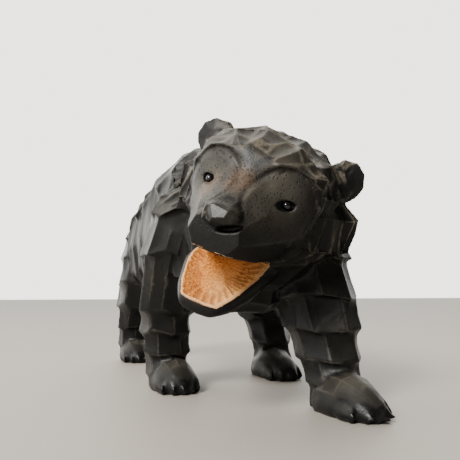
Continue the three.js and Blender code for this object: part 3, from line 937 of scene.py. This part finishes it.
# %% Black glass
SWIRL_SCALE = 900.0
glass = bpy.data.materials.new("black_glass")
glass.use_nodes = True
tree = glass.node_tree
shader = tree.nodes["Principled BSDF"]
place = add(tree, "ShaderNodeTexCoord").outputs["Object"]
swirl = add(tree, "ShaderNodeTexNoise", Vector=place, Scale=SWIRL_SCALE, Detail=2.0).outputs["Fac"]
tint = add(
    tree, "ShaderNodeMix", {"data_type": "RGBA"}, _0=swirl, _6=colour("#060608"), _7=colour("#121015")
).outputs[2]
tree.links.new(tint, shader.inputs["Base Color"])
shader.inputs["Roughness"].default_value = 0.04
shader.inputs["IOR"].default_value = 1.52
print("black glass, roughness", round(shader.inputs["Roughness"].default_value, 2))

# %% [markdown]
# Molten glass pulls itself into a ball, and keeps a small neck where the wire leaves it. A UV sphere would do
# for the front. Turning a profile with bmesh's spin also gives the neck.

# %% Beads
BEAD_RADIUS = 1.4 * MM
WIRE_RADIUS = 0.35 * MM
NECK = -0.98 * BEAD_RADIUS
NECK_ANGLE = 165
RINGS, TURNS = 24, 40


def bead(name):
    """A drop of glass on its wire, turned on its own axis as a lathe would, and set where its solid is."""
    profile = [(WIRE_RADIUS, NECK)]
    for i in range(1, RINGS):
        angle = math.radians(NECK_ANGLE - NECK_ANGLE * i / RINGS)
        profile.append((BEAD_RADIUS * math.sin(angle), BEAD_RADIUS * math.cos(angle)))
    shape = bmesh.new()
    line = [shape.verts.new((r, 0, z)) for r, z in profile]
    tip = shape.verts.new((0, 0, BEAD_RADIUS))
    back = shape.verts.new((0, 0, NECK))
    chain = [back, *line, tip]
    for one, two in zip(chain, chain[1:]):
        shape.edges.new((one, two))
    bmesh.ops.spin(
        shape, geom=shape.verts[:] + shape.edges[:], axis=(0, 0, 1), cent=(0, 0, 0),
        steps=TURNS, angle=math.tau, use_merge=True,
    )
    bmesh.ops.remove_doubles(shape, verts=shape.verts, dist=WELD)
    bmesh.ops.recalc_face_normals(shape, faces=shape.faces)
    shape.transform(head.to_3x3().to_4x4() @ Matrix.Rotation(math.radians(90), 4, "X"))
    shape.transform(Matrix.Translation(beads[name]))
    mesh = bpy.data.meshes.new(f"glass_{name}")
    shape.to_mesh(mesh)
    shape.free()
    mesh.shade_smooth()
    mesh.materials.append(glass)
    piece = bpy.data.objects.new(f"glass_{name}", mesh)
    scene.collection.objects.link(piece)
    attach(piece, "root")
    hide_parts(name)
    print(piece.name, "has", len(mesh.polygons), "faces")


for name in beads:
    bead(name)

# %% [markdown]
# ## The studio
# A pale floor, and a pale room that is bright behind the bear and dim in front of it. Dark waxed wood shows
# its form by what it reflects, so a room that is bright on one side draws every facet. One large soft lamp,
# like a window beside the bear, makes the highlights.

# %% The floor
FLOOR_HALF = 3.0
floor_mesh = bpy.data.meshes.new("floor")
sides = [(-1, -1), (1, -1), (1, 1), (-1, 1)]
floor_mesh.from_pydata([(x * FLOOR_HALF, y * FLOOR_HALF, 0) for x, y in sides], [], [(0, 1, 2, 3)])
floor = bpy.data.objects.new("floor", floor_mesh)
scene.collection.objects.link(floor)
pale = bpy.data.materials.new("pale_matt_board")
pale.use_nodes = True
pale_shader = pale.node_tree.nodes["Principled BSDF"]
pale_shader.inputs["Base Color"].default_value = colour("#958f86")
pale_shader.inputs["Roughness"].default_value = 0.6
floor_mesh.materials.append(pale)
floor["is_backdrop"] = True
print("a floor", 2 * FLOOR_HALF, "m across")

# %% [markdown]
# The world's colour is the same all round, and its strength depends on the direction: bright behind the bear
# and a little to its right, dim in front of it, with a smooth change between. A plain world would light the
# bear evenly and hide the facets.

# %% The room's light
ROOM_BRIGHT, ROOM_DIM = 3.6, 0.1
FADE_FROM, FADE_TO = -0.2, 0.45
bright_side = Vector((-0.35, 0.92, 0.0)).normalized()
world = bpy.data.worlds.new("studio")
world.use_nodes = True
scene.world = world
tree = world.node_tree
toward = add(tree, "ShaderNodeTexCoord").outputs["Generated"]
facing = add(tree, "ShaderNodeVectorMath", {"operation": "DOT_PRODUCT"}, _0=toward, _1=bright_side)
level = add(
    tree, "ShaderNodeMapRange", {"interpolation_type": "SMOOTHSTEP"},
    _0=facing.outputs["Value"], _1=FADE_FROM, _2=FADE_TO, _3=ROOM_DIM, _4=ROOM_BRIGHT,
).outputs[0]
background = tree.nodes["Background"]
background.inputs["Color"].default_value = colour("#f3f0ea")
tree.links.new(level, background.inputs["Strength"])
print("the room goes from", ROOM_DIM, "to", ROOM_BRIGHT)

# %% [markdown]
# The window is one square lamp, above and in front of the bear on its right. Its size sets how soft the
# shadows are and how large the highlight in each bead is.


# %% The window
def lamp(name, where, aim, size, power, tint):
    """A square soft lamp, in metres and watts."""
    data = bpy.data.lights.new(name, "AREA")
    data.size = size
    data.energy = power
    data.color = colour(tint)[:3]
    lamp_object = bpy.data.objects.new(name, data)
    scene.collection.objects.link(lamp_object)
    lamp_object.location = where
    lamp_object.rotation_euler = (Vector(aim) - Vector(where)).to_track_quat("-Z", "Y").to_euler()
    print(name, "at", where)


lamp("window", (-0.85, -0.75, 0.8), (0, -0.03, 0.06), 0.4, 40, "#fdfbf6")

# %% [markdown]
# The finished model's box is measured, and its size is printed.

# %% The box of the finished model
low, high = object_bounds()
print("the visual measures", [round(v / MM, 1) for v in high - low], "mm")
